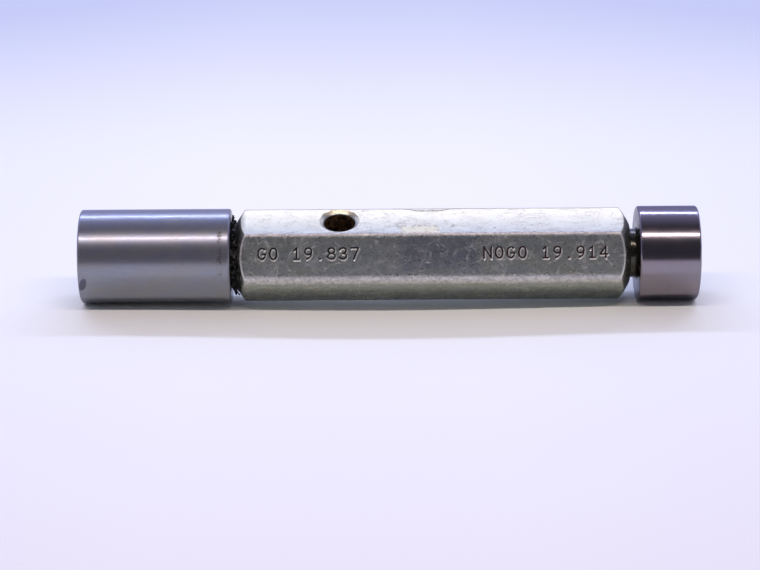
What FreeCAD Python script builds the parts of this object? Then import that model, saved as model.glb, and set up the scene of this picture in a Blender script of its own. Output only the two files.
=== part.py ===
import FreeCAD, Part
import os

import Sketcher

# A double-ended taper-lock plug gauge. A hexagonal handle holds a long GO member at one end and a
# short NOGO member at the other. Each member is one turned and ground piece: a cylindrical gauging
# plug with a taper shank, which locks by friction in a socket of the same taper in the handle.
# The axis is Z. The middle of the GO member's working face is the origin, and the gauge stands on
# that face. Lengths are millimetres.

driving_sizes = [
    ("go_dia", 19.837, "GO plug, ground to .781 in"),
    ("go_length", 31.75, "GO plug, 1 1/4 in"),
    ("go_gap", 1.2, "GO plug's back face to the handle"),
    ("nogo_dia", 19.914, "NOGO plug, ground to .784 in"),
    ("nogo_length", 12.7, "NOGO plug, 1/2 in"),
    ("nogo_gap", 1.7, "NOGO plug's back face to the handle"),
    ("rim_break", 0.3, "chamfer on both rims of a plug"),
    ("seat_dia", 10.3, "taper where it enters the handle"),
    ("taper_ratio", 48, "length over which the taper loses 1 mm of diameter"),
    ("shank_length", 18.4, "taper shank inside the handle, up to the drift hole"),
    ("root_fillet", 1, "fillet where the shank meets the plug"),
    ("centre_dia", 4, "mouth of a 60 degree centre hole"),
    ("pilot_dia", 1.6, "pilot drilling of a centre hole"),
    ("pilot_depth", 3.6, "centre hole, to the bottom of its pilot"),
    ("handle_length", 83, "handle, face to face"),
    ("across_flats", 17.4625, "hexagonal bar, 11/16 in"),
    ("corner_radius", 2, "rounded corners of the bar"),
    ("dome_radius", 15, "form-turned ends of the handle"),
    ("go_face_dia", 14, "flat end face beside the GO plug"),
    ("nogo_face_dia", 12.6, "flat end face beside the NOGO plug"),
    ("socket_depth", 27, "reamed taper in the handle"),
    ("bore_dia", 7.9375, "bore between the sockets, 5/16 in"),
    ("drift_dia", 6.5, "drift hole, through one flat"),
    ("drift_break", 0.8, "countersink of the drift hole"),
    ("drift_from_end", 21.8, "drift hole's middle from the handle's GO end"),
    ("drift_turn", 120, "degrees from +Y to the drift hole's flat"),
    ("clear_of_bar", 12, "radius outside the whole bar, which a cut runs to"),
]

origin_face, start_point, end_point, centre_point = -1, 1, 2, 3
axis_across, axis_along = -1, -2
near = 1e-4

doc = FreeCAD.newDocument("plug_gauge")
sheet = doc.addObject("Spreadsheet::Sheet", "sizes")
for row, (alias, number, note) in enumerate(driving_sizes, 1):
    sheet.set(f"A{row}", alias)
    sheet.set(f"B{row}", str(number))
    sheet.set(f"C{row}", note)
    sheet.setAlias(f"B{row}", alias)
doc.recompute()


def new_body(label):
    body = doc.addObject("PartDesign::Body", label)
    body.Label = label
    return body


def new_sketch(body, name, plane):
    """An empty sketch on one of the body's own origin planes."""
    sketch = body.newObject("Sketcher::SketchObject", name)
    support = next(f for f in body.Origin.OriginFeatures if f.Role == plane)
    sketch.AttachmentSupport = (support, [""])
    sketch.MapMode = "FlatFace"
    return sketch


def hold(sketch, kind, edge, point, size):
    """Ties a point's distance from the origin, across or along, to the sheet. 0 puts it on the axis."""
    if size == "0":
        axis = axis_along if kind == "DistanceX" else axis_across
        sketch.addConstraint(Sketcher.Constraint("PointOnObject", edge, point, axis))
        return
    where = sketch.Geometry[edge].toShape().Vertexes[point - 1].Point
    now = where.x if kind == "DistanceX" else where.y
    number = sketch.addConstraint(
        Sketcher.Constraint(kind, origin_face, start_point, edge, point, now)
    )
    sketch.setExpression(f"Constraints[{number}]", size)


def draw_outline(sketch, points):
    """A closed outline of straight lines. Each point is its distance across and along, as expressions."""
    count = len(points)
    corners = [FreeCAD.Vector(1 + i, 1 + i * i, 0) for i in range(count)]
    for i, corner in enumerate(corners):
        sketch.addGeometry(Part.LineSegment(corner, corners[(i + 1) % count]), False)
    for i in range(count):
        sketch.addConstraint(
            Sketcher.Constraint("Coincident", i, end_point, (i + 1) % count, start_point)
        )
    for i, (across, along) in enumerate(points):
        hold(sketch, "DistanceX", i, start_point, across)
        hold(sketch, "DistanceY", i, start_point, along)


def turn(body, kind, name, sketch):
    """A full turn of the sketch about its own upright axis, added (Revolution) or cut (Groove)."""
    before = body.Tip.Shape.Volume if body.Tip else 0
    feature = body.newObject(f"PartDesign::{kind}", name)
    feature.Profile = sketch
    feature.ReferenceAxis = (sketch, ["V_Axis"])
    feature.Angle = 360
    sketch.Visibility = False
    doc.recompute()
    change = feature.Shape.Volume - before
    if (change > 0) != (kind == "Revolution") or abs(change) < near:
        raise RuntimeError(f"{body.Label}: {name} changed the volume by {change:.3f}")


def round_edges(body, along, radius):
    """Names of the tip's circular edges of this radius, at this height on the axis."""
    return [
        f"Edge{number}"
        for number, edge in enumerate(body.Tip.Shape.Edges, 1)
        if isinstance(edge.Curve, Part.Circle)
        and abs(edge.Curve.Center.z - along) < near
        and abs(edge.Curve.Radius - radius) < near
    ]


def dress(body, kind, name, edges, size_property, size):
    """A Fillet or Chamfer on the named edges of the body's tip."""
    if not edges:
        raise RuntimeError(f"{body.Label}: {name} found no edge")
    base = body.Tip
    feature = body.newObject(f"PartDesign::{kind}", name)
    feature.Base = (base, edges)
    feature.setExpression(size_property, size)
    doc.recompute()


def cut_centre_hole(body, name, face, inward):
    """A 60 degree centre with its pilot. The face is an expression, and inward is + or - along the axis."""
    cone = "(sizes.centre_dia - sizes.pilot_dia) / 2 / tan(30 deg)"

    def height(depth):
        if face == "0":
            return depth
        return f"{face} {inward} ({depth})"

    sketch = new_sketch(body, f"{name}_outline", "XZ_Plane")
    draw_outline(
        sketch,
        [
            ("0", height("0")),
            ("sizes.centre_dia / 2", height("0")),
            ("sizes.pilot_dia / 2", height(cone)),
            ("sizes.pilot_dia / 2", height("sizes.pilot_depth")),
            ("0", height("sizes.pilot_depth")),
        ],
    )
    turn(body, "Groove", name, sketch)


def make_member(label, end):
    """A gauging plug and its taper shank, one piece, working face at height 0. end is go or nogo."""
    body = new_body(label)
    back = f"sizes.{end}_length"
    tip = f"{back} + sizes.{end}_gap + sizes.shank_length"
    root_radius = f"sizes.seat_dia / 2 + sizes.{end}_gap / sizes.taper_ratio / 2"
    tip_radius = "sizes.seat_dia / 2 - sizes.shank_length / sizes.taper_ratio / 2"
    sketch = new_sketch(body, f"{label}_outline", "XZ_Plane")
    draw_outline(
        sketch,
        [
            ("0", "0"),
            (f"sizes.{end}_dia / 2", "0"),
            (f"sizes.{end}_dia / 2", back),
            (root_radius, back),
            (tip_radius, tip),
            ("0", tip),
        ],
    )
    turn(body, "Revolution", f"{label}_turned", sketch)

    length = sheet.get(f"{end}_length")
    plug = sheet.get(f"{end}_dia") / 2
    neck = (sheet.get("seat_dia") + sheet.get(f"{end}_gap") / sheet.get("taper_ratio")) / 2
    root = round_edges(body, length, neck)
    dress(body, "Fillet", f"{label}_root", root, "Radius", "sizes.root_fillet")
    rims = round_edges(body, 0, plug) + round_edges(body, length, plug)
    dress(body, "Chamfer", f"{label}_rims", rims, "Size", "sizes.rim_break")

    cut_centre_hole(body, f"{label}_face_centre", "0", "+")
    cut_centre_hole(body, f"{label}_shank_centre", tip, "-")
    return body


def draw_hexagon(sketch):
    """A regular hexagon about the origin, with two corners on X and two sides square to Y."""
    flats = sheet.get("across_flats")
    rim = FreeCAD.Vector(flats / 3**0.5, 0, 0)
    about = FreeCAD.Vector(0, 0, 1)
    corners = [FreeCAD.Rotation(about, 60 * i).multVec(rim) for i in range(6)]
    for i in range(6):
        sketch.addGeometry(Part.LineSegment(corners[i], corners[(i + 1) % 6]), False)
    circle = sketch.addGeometry(Part.Circle(FreeCAD.Vector(), about, rim.x), True)
    for i in range(6):
        joined = (i + 1) % 6
        sketch.addConstraint(Sketcher.Constraint("Coincident", i, end_point, joined, start_point))
        sketch.addConstraint(Sketcher.Constraint("PointOnObject", i, start_point, circle))
        if i:
            sketch.addConstraint(Sketcher.Constraint("Equal", 0, i))
    sketch.addConstraint(
        Sketcher.Constraint("Coincident", circle, centre_point, origin_face, start_point)
    )
    sketch.addConstraint(Sketcher.Constraint("Horizontal", 1))
    hold(sketch, "DistanceY", 1, start_point, "sizes.across_flats / 2")


def cut_domed_end(body, name, face_size, top):
    """Turns one end of the bar to a convex form about a flat face, at height 0 or at the handle's top."""
    radius = sheet.get("dome_radius")
    face = sheet.get(face_size) / 2
    clear = sheet.get("clear_of_bar")
    length = sheet.get("handle_length")
    to_face = (radius**2 - face**2) ** 0.5
    to_clear = (radius**2 - clear**2) ** 0.5
    end, inward = (length, -1) if top else (0, 1)
    middle = FreeCAD.Vector(0, end + inward * to_face, 0)
    at_face = FreeCAD.Vector(face, end, 0)
    at_clear = FreeCAD.Vector(clear, end + inward * (to_face - to_clear), 0)
    outside = FreeCAD.Vector(clear, end, 0)

    sketch = new_sketch(body, f"{name}_outline", "XZ_Plane")
    about = FreeCAD.Vector(0, 0, 1)
    ring = Part.Circle(middle, about, radius)
    first, last = (at_clear, at_face) if top else (at_face, at_clear)
    face_point, clear_point = (end_point, start_point) if top else (start_point, end_point)
    arc = sketch.addGeometry(
        Part.ArcOfCircle(ring, ring.parameter(first), ring.parameter(last)), False
    )
    side = sketch.addGeometry(Part.LineSegment(at_clear, outside), False)
    base = sketch.addGeometry(Part.LineSegment(outside, at_face), False)
    for constraint in (
        ("Coincident", arc, clear_point, side, start_point),
        ("Coincident", side, end_point, base, start_point),
        ("Coincident", base, end_point, arc, face_point),
        ("PointOnObject", arc, centre_point, axis_along),
        ("Vertical", side),
    ):
        sketch.addConstraint(Sketcher.Constraint(*constraint))
    form = sketch.addConstraint(Sketcher.Constraint("Radius", arc, radius))
    sketch.setExpression(f"Constraints[{form}]", "sizes.dome_radius")
    height = "sizes.handle_length" if top else "0"
    hold(sketch, "DistanceX", base, end_point, f"sizes.{face_size} / 2")
    hold(sketch, "DistanceY", base, end_point, height)
    hold(sketch, "DistanceX", base, start_point, "sizes.clear_of_bar")
    hold(sketch, "DistanceY", base, start_point, height)
    turn(body, "Groove", name, sketch)


def make_handle():
    """The hexagonal bar, with domed ends, a taper socket in each, a bore between and a drift hole."""
    body = new_body("handle")
    sketch = new_sketch(body, "bar_outline", "XY_Plane")
    draw_hexagon(sketch)
    bar = body.newObject("PartDesign::Pad", "bar")
    bar.Profile = sketch
    bar.setExpression("Length", "sizes.handle_length")
    sketch.Visibility = False
    doc.recompute()

    upright = [
        f"Edge{number}"
        for number, edge in enumerate(bar.Shape.Edges, 1)
        if abs(edge.Vertexes[0].Point.z - edge.Vertexes[-1].Point.z) > near
    ]
    dress(body, "Fillet", "bar_corners", upright, "Radius", "sizes.corner_radius")
    cut_domed_end(body, "go_end", "go_face_dia", False)
    cut_domed_end(body, "nogo_end", "nogo_face_dia", True)

    # the sockets narrow at the taper's rate from their mouths, then step at 45 degrees to the bore
    seat = "sizes.seat_dia / 2"
    bottom = f"{seat} - sizes.socket_depth / sizes.taper_ratio / 2"
    step = f"sizes.socket_depth + {bottom} - sizes.bore_dia / 2"
    top = "sizes.handle_length"
    sketch = new_sketch(body, "sockets_outline", "XZ_Plane")
    draw_outline(
        sketch,
        [
            ("0", "0"),
            (seat, "0"),
            (bottom, "sizes.socket_depth"),
            ("sizes.bore_dia / 2", step),
            ("sizes.bore_dia / 2", f"{top} - ({step})"),
            (bottom, f"{top} - sizes.socket_depth"),
            (seat, top),
            ("0", top),
        ],
    )
    turn(body, "Groove", "sockets_and_bore", sketch)

    # the sketch's upright axis is the drift hole's, pointing out of the flat
    sketch = new_sketch(body, "drift_hole_outline", "XY_Plane")
    sketch.AttachmentOffset = FreeCAD.Placement(
        FreeCAD.Vector(), FreeCAD.Rotation(FreeCAD.Vector(0, 0, 1), sheet.get("drift_turn"))
    )
    sketch.setExpression("AttachmentOffset.Base.z", "sizes.drift_from_end")
    sketch.setExpression("AttachmentOffset.Rotation.Angle", "sizes.drift_turn")
    flat = "sizes.across_flats / 2"
    beyond = "sizes.clear_of_bar"
    draw_outline(
        sketch,
        [
            ("0", "0"),
            ("sizes.drift_dia / 2", "0"),
            ("sizes.drift_dia / 2", f"{flat} - sizes.drift_break"),
            (f"sizes.drift_dia / 2 + {beyond} - {flat} + sizes.drift_break", beyond),
            ("0", beyond),
        ],
    )
    turn(body, "Groove", "drift_hole", sketch)
    return body


go_member = make_member("go_member", "go")

handle = make_handle()
handle.setExpression("Placement.Base.z", "sizes.go_length + sizes.go_gap")

nogo_member = make_member("nogo_member", "nogo")
turned_over = FreeCAD.Rotation(FreeCAD.Vector(1, 0, 0), 180)
nogo_member.Placement = FreeCAD.Placement(FreeCAD.Vector(), turned_over)
nogo_member.setExpression(
    "Placement.Base.z",
    "sizes.go_length + sizes.go_gap + sizes.handle_length + sizes.nogo_gap + sizes.nogo_length",
)
doc.recompute()

for item in doc.Objects:
    if "Invalid" in item.State or "Error" in item.State:
        raise RuntimeError(f"{item.Label} failed: {item.State}")

os.makedirs("parts", exist_ok=True)
for body in (go_member, handle, nogo_member):
    shape = body.Shape
    if shape.isNull() or not shape.isValid() or len(shape.Solids) != 1:
        raise RuntimeError(f"{body.Label} is not one valid solid")
    shape.exportStep(f"parts/{body.Label}.step")
    box = shape.BoundBox
    print(f"{body.Label}: {shape.Volume:.1f} mm3, z {box.ZMin:.3f} to {box.ZMax:.3f}")
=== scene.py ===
import math

import bmesh
import bpy
from mathutils import Matrix, Vector


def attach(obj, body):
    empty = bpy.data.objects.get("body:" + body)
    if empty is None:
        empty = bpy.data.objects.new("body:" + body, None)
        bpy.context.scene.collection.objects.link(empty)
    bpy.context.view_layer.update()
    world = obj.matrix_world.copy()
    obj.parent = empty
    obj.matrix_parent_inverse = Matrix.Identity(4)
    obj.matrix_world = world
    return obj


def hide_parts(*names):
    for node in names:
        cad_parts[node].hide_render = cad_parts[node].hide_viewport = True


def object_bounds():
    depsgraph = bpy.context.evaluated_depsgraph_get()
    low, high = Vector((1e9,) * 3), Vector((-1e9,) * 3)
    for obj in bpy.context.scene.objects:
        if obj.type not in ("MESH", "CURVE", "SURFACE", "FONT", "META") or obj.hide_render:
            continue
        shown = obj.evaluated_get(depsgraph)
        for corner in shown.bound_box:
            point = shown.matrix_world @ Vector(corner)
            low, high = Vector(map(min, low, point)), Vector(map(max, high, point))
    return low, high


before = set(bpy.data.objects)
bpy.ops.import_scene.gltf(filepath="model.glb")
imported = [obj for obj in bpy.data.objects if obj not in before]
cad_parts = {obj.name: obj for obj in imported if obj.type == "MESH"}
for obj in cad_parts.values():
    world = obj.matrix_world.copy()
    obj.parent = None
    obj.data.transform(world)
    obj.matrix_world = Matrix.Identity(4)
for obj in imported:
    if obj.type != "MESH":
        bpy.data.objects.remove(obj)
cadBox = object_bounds()
mm = 0.001

# The gauge stands on its GO plug with its axis up Z, but the camera is rolled so that the gauge lies
# across the picture. "Facing" is the way from the gauge to the camera, and "lifted" is up in the picture.
lookAt = {
    "turn": 4.6,  # degrees from the lettered flat's normal, -Y, towards the drift hole's flat
    "distance": 530,
    "lens": 118.2,
    "along": 63.2,  # height on the gauge's axis that the camera faces
    "dip": 0.701,  # degrees that it aims below the axis
    "roll": 0.39,
    "floorTilt": 17.7,  # degrees that the camera looks down on the sheet under the gauge
}


def acrossAxis(degrees):
    # unit vector square to the gauge's axis, this far round from facing towards lifted
    angle = math.radians(degrees + lookAt["turn"])
    return Vector((-math.sin(angle), -math.cos(angle), 0))


facing, lifted, axis = acrossAxis(0), acrossAxis(90), Vector((0, 0, 1))
sheetUp = acrossAxis(90 - lookAt["floorTilt"])
sheetAway = acrossAxis(180 - lookAt["floorTilt"])


def srgb(code):
    values = [int(code[i : i + 2], 16) / 255 for i in (1, 3, 5)]
    linear = [v / 12.92 if v <= 0.04045 else ((v + 0.055) / 1.055) ** 2.4 for v in values]
    return (*linear, 1.0)


# the kinds of node used most
maths, vectorMaths, mapRange = "ShaderNodeMath", "ShaderNodeVectorMath", "ShaderNodeMapRange"


def addNode(tree, kind, settings=None, *values, **links):
    # one node: settings are its properties or socket values, and one word alone is its operation; its inputs
    # follow in order or by name, each as a plain value, a socket, a node or a list of nodes to join
    node = tree.nodes.new(kind)
    if isinstance(settings, str):
        settings = {"operation": settings}
    for name, value in (settings or {}).items():
        if isinstance(name, int) or name in node.inputs:
            node.inputs[name].default_value = value
        else:
            setattr(node, name, value)
    for name, value in (*enumerate(values), *links.items()):
        if isinstance(name, str):
            name = int(name[1:]) if name[1:].isdigit() else name.replace("_", " ")
        for source in value if isinstance(value, list) else [value]:
            if isinstance(source, bpy.types.Node):
                source = next(socket for socket in source.outputs if socket.enabled)
            if isinstance(source, bpy.types.NodeSocket):
                tree.links.new(source, node.inputs[name])
            else:
                node.inputs[name].default_value = source
    return node


def newObject(name, data):
    made = bpy.data.objects.new(name, data)
    bpy.context.collection.objects.link(made)
    return made


def newMaterial(name):
    material = bpy.data.materials.new(name)
    material.use_nodes = True
    tree = material.node_tree
    tree.nodes.clear()
    return material, tree


def product(tree, *factors):
    # masks, sizes and numbers multiplied together
    whole = factors[0]
    for factor in factors[1:]:
        whole = addNode(tree, maths, "MULTIPLY", whole, factor)
    return whole


def anyOf(tree, *masks):
    # the strongest of several masks
    whole = masks[0]
    for mask in masks[1:]:
        whole = addNode(tree, maths, "MAXIMUM", whole, mask)
    return whole


def inside(tree, value, low, high, soft):
    # 1 between two limits, with a soft edge
    easing = {"interpolation_type": "SMOOTHSTEP"}
    risen = addNode(tree, mapRange, easing, value, low - soft, low + soft)
    fallen = addNode(tree, mapRange, easing, value, high - soft, high + soft, 1, 0)
    return product(tree, risen, fallen)


def layered(tree, colour, *layers):
    # colours laid one over another, each as far as its mask goes from 0 to 1
    for mask, upper in layers:
        under, over = [srgb(each) if isinstance(each, str) else each for each in (colour, upper)]
        colour = addNode(tree, "ShaderNodeMix", {"data_type": "RGBA"}, Factor=mask, _6=under, _7=over)
    return colour


def relief(tree, *layers):
    # heights laid one over another, each with its depth in millimetres
    under = {}
    for height, depth in layers:
        settings = {"Strength": 1.0, "Distance": depth * mm}
        under = {"Normal": addNode(tree, "ShaderNodeBump", settings, Height=height, **under)}
    return under["Normal"]


def millimetres(tree):
    # Object coordinates, in millimetres from the frame's origin
    place = addNode(tree, "ShaderNodeTexCoord").outputs["Object"]
    return addNode(tree, vectorMaths, "SCALE", place, Scale=1 / mm)


def grain(tree, space, stretch, detail=3.0, rough=0.55, warp=0.0, shift=0.0):
    # noise whose features are about 1 / stretch millimetres wide each way
    moved = addNode(tree, vectorMaths, "MULTIPLY_ADD", space, stretch, (shift, shift, shift))
    settings = {"Scale": 1.0, "Detail": detail, "Roughness": rough, "Distortion": warp}
    return addNode(tree, "ShaderNodeTexNoise", settings, Vector=moved)


def placeCamera():
    dip, roll = math.radians(lookAt["dip"]), math.radians(lookAt["roll"])
    upward = lifted * math.cos(dip) - facing * math.sin(dip)
    backward = facing * math.cos(dip) + lifted * math.sin(dip)
    right = axis * math.cos(roll) - upward * math.sin(roll)
    upward = upward * math.cos(roll) + axis * math.sin(roll)
    camera = newObject("camera", bpy.data.cameras.new("camera"))
    camera.data.lens = lookAt["lens"]
    camera.data.clip_start, camera.data.clip_end = 0.01, 10
    turned = Matrix((right, upward, backward)).transposed().to_4x4()
    spot = axis * lookAt["along"] * mm + facing * lookAt["distance"] * mm
    camera.matrix_world = Matrix.Translation(spot) @ turned
    bpy.context.scene.camera = camera


placeCamera()
print("camera placed")

sheet = {
    "behind": 900,
    "before": 810,
    "side": 900,
    "sag": 0.85,  # how far it dips under the handle, between the plugs
    "white": "#f3f5eb",
    "far": "#c7ceda",  # the colour that the light leaves on it towards the back of the room
    "gradeFrom": 90,
    "gradeTo": 370,
    "near": "#c9b8be",  # and the colour that the warm lamp leaves on it in front of the gauge
    "nearFrom": 10,
    "nearTo": 480,
    "middle": 55.2,  # up the gauge's axis, the place from which painted shade darkens it to both sides
}


def makeSheet():
    # the pale sheet touches both plugs along one line each; its back is clear, so it hides nothing
    low, high = cadBox
    touching = -sheetUp * (high.x - low.x) / 2 + axis * (low.z + high.z) / 2
    near, far, side = sheet["before"] * mm, sheet["behind"] * mm, sheet["side"] * mm
    columns = [-side] + [low.z + (high.z - low.z) * step / 24 for step in range(25)] + [side]
    spots, faces = [], []
    for column in columns:
        inward = min(max((column - low.z) / (high.z - low.z), 0), 1)
        sag = sheet["sag"] * mm * math.sin(math.pi * inward) ** 2
        level = touching + axis * (column - touching.z) - sheetUp * sag
        spots += [level - sheetAway * near, level + sheetAway * far]
    for first in range(0, len(spots) - 2, 2):
        faces.append((first, first + 2, first + 3, first + 1))
    mesh = bpy.data.meshes.new("pale_sheet")
    mesh.from_pydata(spots, [], faces)
    mesh.update()
    if mesh.polygons[0].normal.dot(sheetUp) < 0:
        mesh.flip_normals()
    mesh.polygons.foreach_set("use_smooth", [True] * len(faces))
    piece = newObject("pale_sheet", mesh)
    material, tree = newMaterial("matt_paper")
    # matt and near white, with painted light: cooler far behind the gauge and out to the sides, as a painted
    # falloff of the lamps' light, and warmer in front of it, as the warm lamp leaves it
    space = millimetres(tree)
    behind = addNode(tree, vectorMaths, "DOT_PRODUCT", space, sheetAway)
    aside = addNode(
        tree, maths, "SUBTRACT", addNode(tree, vectorMaths, "DOT_PRODUCT", space, axis), sheet["middle"]
    )
    aside = addNode(tree, maths, "ABSOLUTE", aside)
    grade = addNode(
        tree, mapRange, {"interpolation_type": "SMOOTHSTEP"}, behind, sheet["gradeFrom"], sheet["gradeTo"]
    )
    shaded = addNode(tree, mapRange, None, aside, 30, 130, 0, 0.25)
    grade = addNode(tree, maths, {"operation": "ADD", "use_clamp": True}, grade, shaded)
    colour = layered(tree, sheet["white"], (grade, sheet["far"]))
    nearby = addNode(tree, mapRange, None, behind, -sheet["nearFrom"], -sheet["nearTo"])
    colour = layered(tree, colour, (nearby, sheet["near"]))
    paper = addNode(tree, "ShaderNodeBsdfDiffuse", None, Color=colour)
    clear = addNode(tree, "ShaderNodeBsdfTransparent")
    fromBehind = addNode(tree, "ShaderNodeNewGeometry").outputs["Backfacing"]
    mixed = addNode(tree, "ShaderNodeMixShader", None, fromBehind, paper, clear)
    addNode(tree, "ShaderNodeOutputMaterial", None, Surface=mixed)
    mesh.materials.append(material)


makeSheet()

lamps = {
    "back": {"angle": 114.5, "colour": (0.57, 0.645, 1.0), "power": 27},
    "front": {"angle": 44.5, "colour": (1.0, 0.86, 0.88), "power": 25.6},
}
hanging = {"away": 2000, "width": 120, "length": 3000}  # the same for both


def hangLamps():
    # two long tubes beside the gauge, each drawn as one bright line down a plug
    for name, lamp in lamps.items():
        light = bpy.data.lights.new(name, "AREA")
        light.shape = "RECTANGLE"
        light.size, light.size_y = hanging["length"] * mm, hanging["width"] * mm
        light.color, light.energy = lamp["colour"], lamp["power"]
        holder = newObject(name, light)
        outward = acrossAxis(lamp["angle"])
        middle = axis * lookAt["along"] * mm
        turned = Matrix((axis, outward.cross(axis), outward)).transposed().to_4x4()
        holder.matrix_world = Matrix.Translation(middle + outward * hanging["away"] * mm) @ turned
        holder.visible_camera = False


hangLamps()

room = {
    "seen": "#eceaf6",
    "front": (0.042, 0.042, 0.06),
    "back": (0.65, 0.65, 1.1),
    "fill": (0.16, 0.165, 0.2),  # added for matt surfaces, which gather light that the gauge doesn't mirror
}


def lightRoom():
    # pale behind the gauge and dark on the camera's side, as a room is round a lit table
    world = bpy.data.worlds.new("room")
    bpy.context.scene.world = world
    world.use_nodes = True
    tree = world.node_tree
    tree.nodes.clear()
    way = addNode(tree, "ShaderNodeTexCoord").outputs["Generated"]
    ahead = addNode(tree, vectorMaths, "DOT_PRODUCT", way, acrossAxis(10))
    colour = layered(
        tree, (*room["back"], 1), (addNode(tree, mapRange, None, ahead, -0.55, 0.55), (*room["front"], 1))
    )
    rays = addNode(tree, "ShaderNodeLightPath")
    filled = addNode(tree, vectorMaths, "MULTIPLY_ADD", rays.outputs["Is Diffuse Ray"], room["fill"], colour)
    seen = layered(tree, filled, (rays.outputs["Is Camera Ray"], room["seen"]))
    light = addNode(tree, "ShaderNodeBackground", None, Color=seen)
    addNode(tree, "ShaderNodeOutputWorld", None, Surface=light)


lightRoom()
bpy.context.scene.view_settings.view_transform = "Standard"
print("sheet, lamps and room ready")


def newTree(name, settings):
    # a tree with one input for each of a piece's settings, and one for its material
    tree = bpy.data.node_groups.new(name, "GeometryNodeTree")
    kinds = {label: "Int" if isinstance(value, int) else "Float" for label, value in settings.items()}
    for label, kind in {"Geometry": "Geometry", **kinds, "Material": "Material"}.items():
        tree.interface.new_socket(label, in_out="INPUT", socket_type="NodeSocket" + kind)
    tree.interface.new_socket("Geometry", in_out="OUTPUT", socket_type="NodeSocketGeometry")
    return tree, addNode(tree, "NodeGroupInput").outputs


def endTree(tree, geometry, material):
    whole = addNode(tree, "GeometryNodeRealizeInstances", None, Geometry=geometry)
    painted = addNode(tree, "GeometryNodeSetMaterial", None, Geometry=whole, Material=material)
    addNode(tree, "NodeGroupOutput", None, Geometry=painted)


def bakeTree(tree, values, mesh=None):
    # runs the tree on a mesh, and gives the plain mesh that it makes
    carrier = newObject(tree.name, mesh or bpy.data.meshes.new(tree.name))
    modifier = carrier.modifiers.new(tree.name, "NODES")
    modifier.node_group = tree
    sockets = {s.name: s.identifier for s in tree.interface.items_tree if s.in_out == "INPUT"}
    for label, value in values.items():
        modifier[sockets[label]] = value
    ready = carrier.evaluated_get(bpy.context.evaluated_depsgraph_get())
    made = bpy.data.meshes.new_from_object(ready)
    carrier.modifiers.remove(modifier)
    bpy.data.objects.remove(carrier)
    return made


def smoothByAngle(mesh, degrees):
    made = bmesh.new()
    made.from_mesh(mesh)
    bmesh.ops.recalc_face_normals(made, faces=made.faces)
    limit = math.radians(degrees)
    for face in made.faces:
        face.smooth = True
    for edge in made.edges:
        edge.smooth = len(edge.link_faces) == 2 and edge.calc_face_angle() < limit
    made.to_mesh(mesh)
    made.free()


def finish(tree, settings, **links):
    shader = addNode(tree, "ShaderNodeBsdfPrincipled", settings, **links)
    addNode(tree, "ShaderNodeOutputMaterial", None, Surface=shader)


def groundSteel(name, look):
    # hardened tool steel ground round and round: a hard bright line from each lamp, drawn out along the
    # axis by the fine grinding lines, over a grey that the haze left by handling dulls a little
    material, tree = newMaterial(name)
    space = millimetres(tree)
    rings = grain(tree, space, (0.12, 0.12, look["lines"]), 4, 0.7)
    patches = grain(tree, space, (0.35, 0.35, 0.22), 4, 0.6, 0.6, 7.0)
    cloud = grain(tree, space, (1.6, 1.6, 0.9), 3, 0.6, 0.3, 31.0)
    grit = grain(tree, space, (9.0, 9.0, 14.0), 2, 0.6, 0.0, 53.0)
    stain, shade = look["stains"](tree, space)
    base = layered(
        tree,
        look["cool"],
        (addNode(tree, mapRange, None, patches, 0.35, 0.68), look["warm"]),
        (addNode(tree, mapRange, None, cloud, 0.36, 0.72, 0, look["clouded"]), look["dull"]),
        (addNode(tree, mapRange, None, grit, 0.3, 0.72, look["gritty"], 0), look["dull"]),
        (stain, shade),
    )
    worn = addNode(tree, mapRange, None, rings, 0.3, 0.7, look["smooth"] - 0.012, look["smooth"] + 0.015)
    rough = addNode(tree, maths, "ADD", worn, addNode(tree, mapRange, None, patches, 0.4, 0.7, -0.01, 0.02))
    rough = addNode(tree, maths, "ADD", rough, product(tree, stain, 0.2))
    lines = relief(tree, (rings, look["depth"]), (grit, look["depth"] * 0.15))
    across = addNode(tree, "ShaderNodeTangent", {"direction_type": "RADIAL", "axis": "Z"})
    settings = {
        "Metallic": look["metal"],
        "Anisotropic": 0.45,
        "Anisotropic Rotation": 0.25,
        "Specular Tint": (0.45, 0.45, 0.5, 1),
        "Coat Weight": look["oiled"],
        "Coat Roughness": 0.09,
    }
    finish(tree, settings, Base_Color=base, Roughness=rough, Normal=lines, Tangent=across)
    return material


def goStains(tree, space):
    # a broken brown line round the plug near its back rim, and one slanting grey oval by the front rim
    along = addNode(tree, vectorMaths, "DOT_PRODUCT", space, axis)
    spots = grain(tree, space, (1.1, 1.1, 0.9), 4, 0.75, 0.8, 12.0)
    ahead = addNode(tree, vectorMaths, "DOT_PRODUCT", space, acrossAxis(6))
    line = product(
        tree,
        inside(tree, along, 29.3, 30.1, 0.35),
        addNode(tree, mapRange, None, spots, 0.45, 0.56),
        addNode(tree, mapRange, None, ahead, 8.2, 8.9),
    )
    sideways, slant = acrossAxis(53), math.radians(16)
    middle = acrossAxis(-37) * 9.92 + axis * 0.95
    offs = []
    for way, reach in (
        (sideways * math.cos(slant) + axis * math.sin(slant), 1.6),
        (axis * math.cos(slant) - sideways * math.sin(slant), 0.72),
    ):
        off = addNode(tree, vectorMaths, "DOT_PRODUCT", space, way / reach)
        off = addNode(tree, maths, "SUBTRACT", off, middle.dot(way) / reach)
        offs.append(addNode(tree, maths, "POWER", off, 2))
    off = addNode(tree, maths, "ADD", *offs)
    ahead = addNode(tree, vectorMaths, "DOT_PRODUCT", space, acrossAxis(-37))
    oval = product(
        tree, addNode(tree, mapRange, None, off, 0.85, 1.2, 1, 0), addNode(tree, mapRange, None, ahead, 8, 9)
    )
    specks = grain(tree, space, (1.7, 1.7, 1.7), 2, 0.5, 0.0, 90.0)
    dots = product(tree, addNode(tree, mapRange, None, specks, 0.735, 0.76), 0.5)
    shade = layered(tree, "#4d4438", (oval, "#5a5a6a"))
    return product(tree, anyOf(tree, line, oval, dots), 0.9), shade


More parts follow.
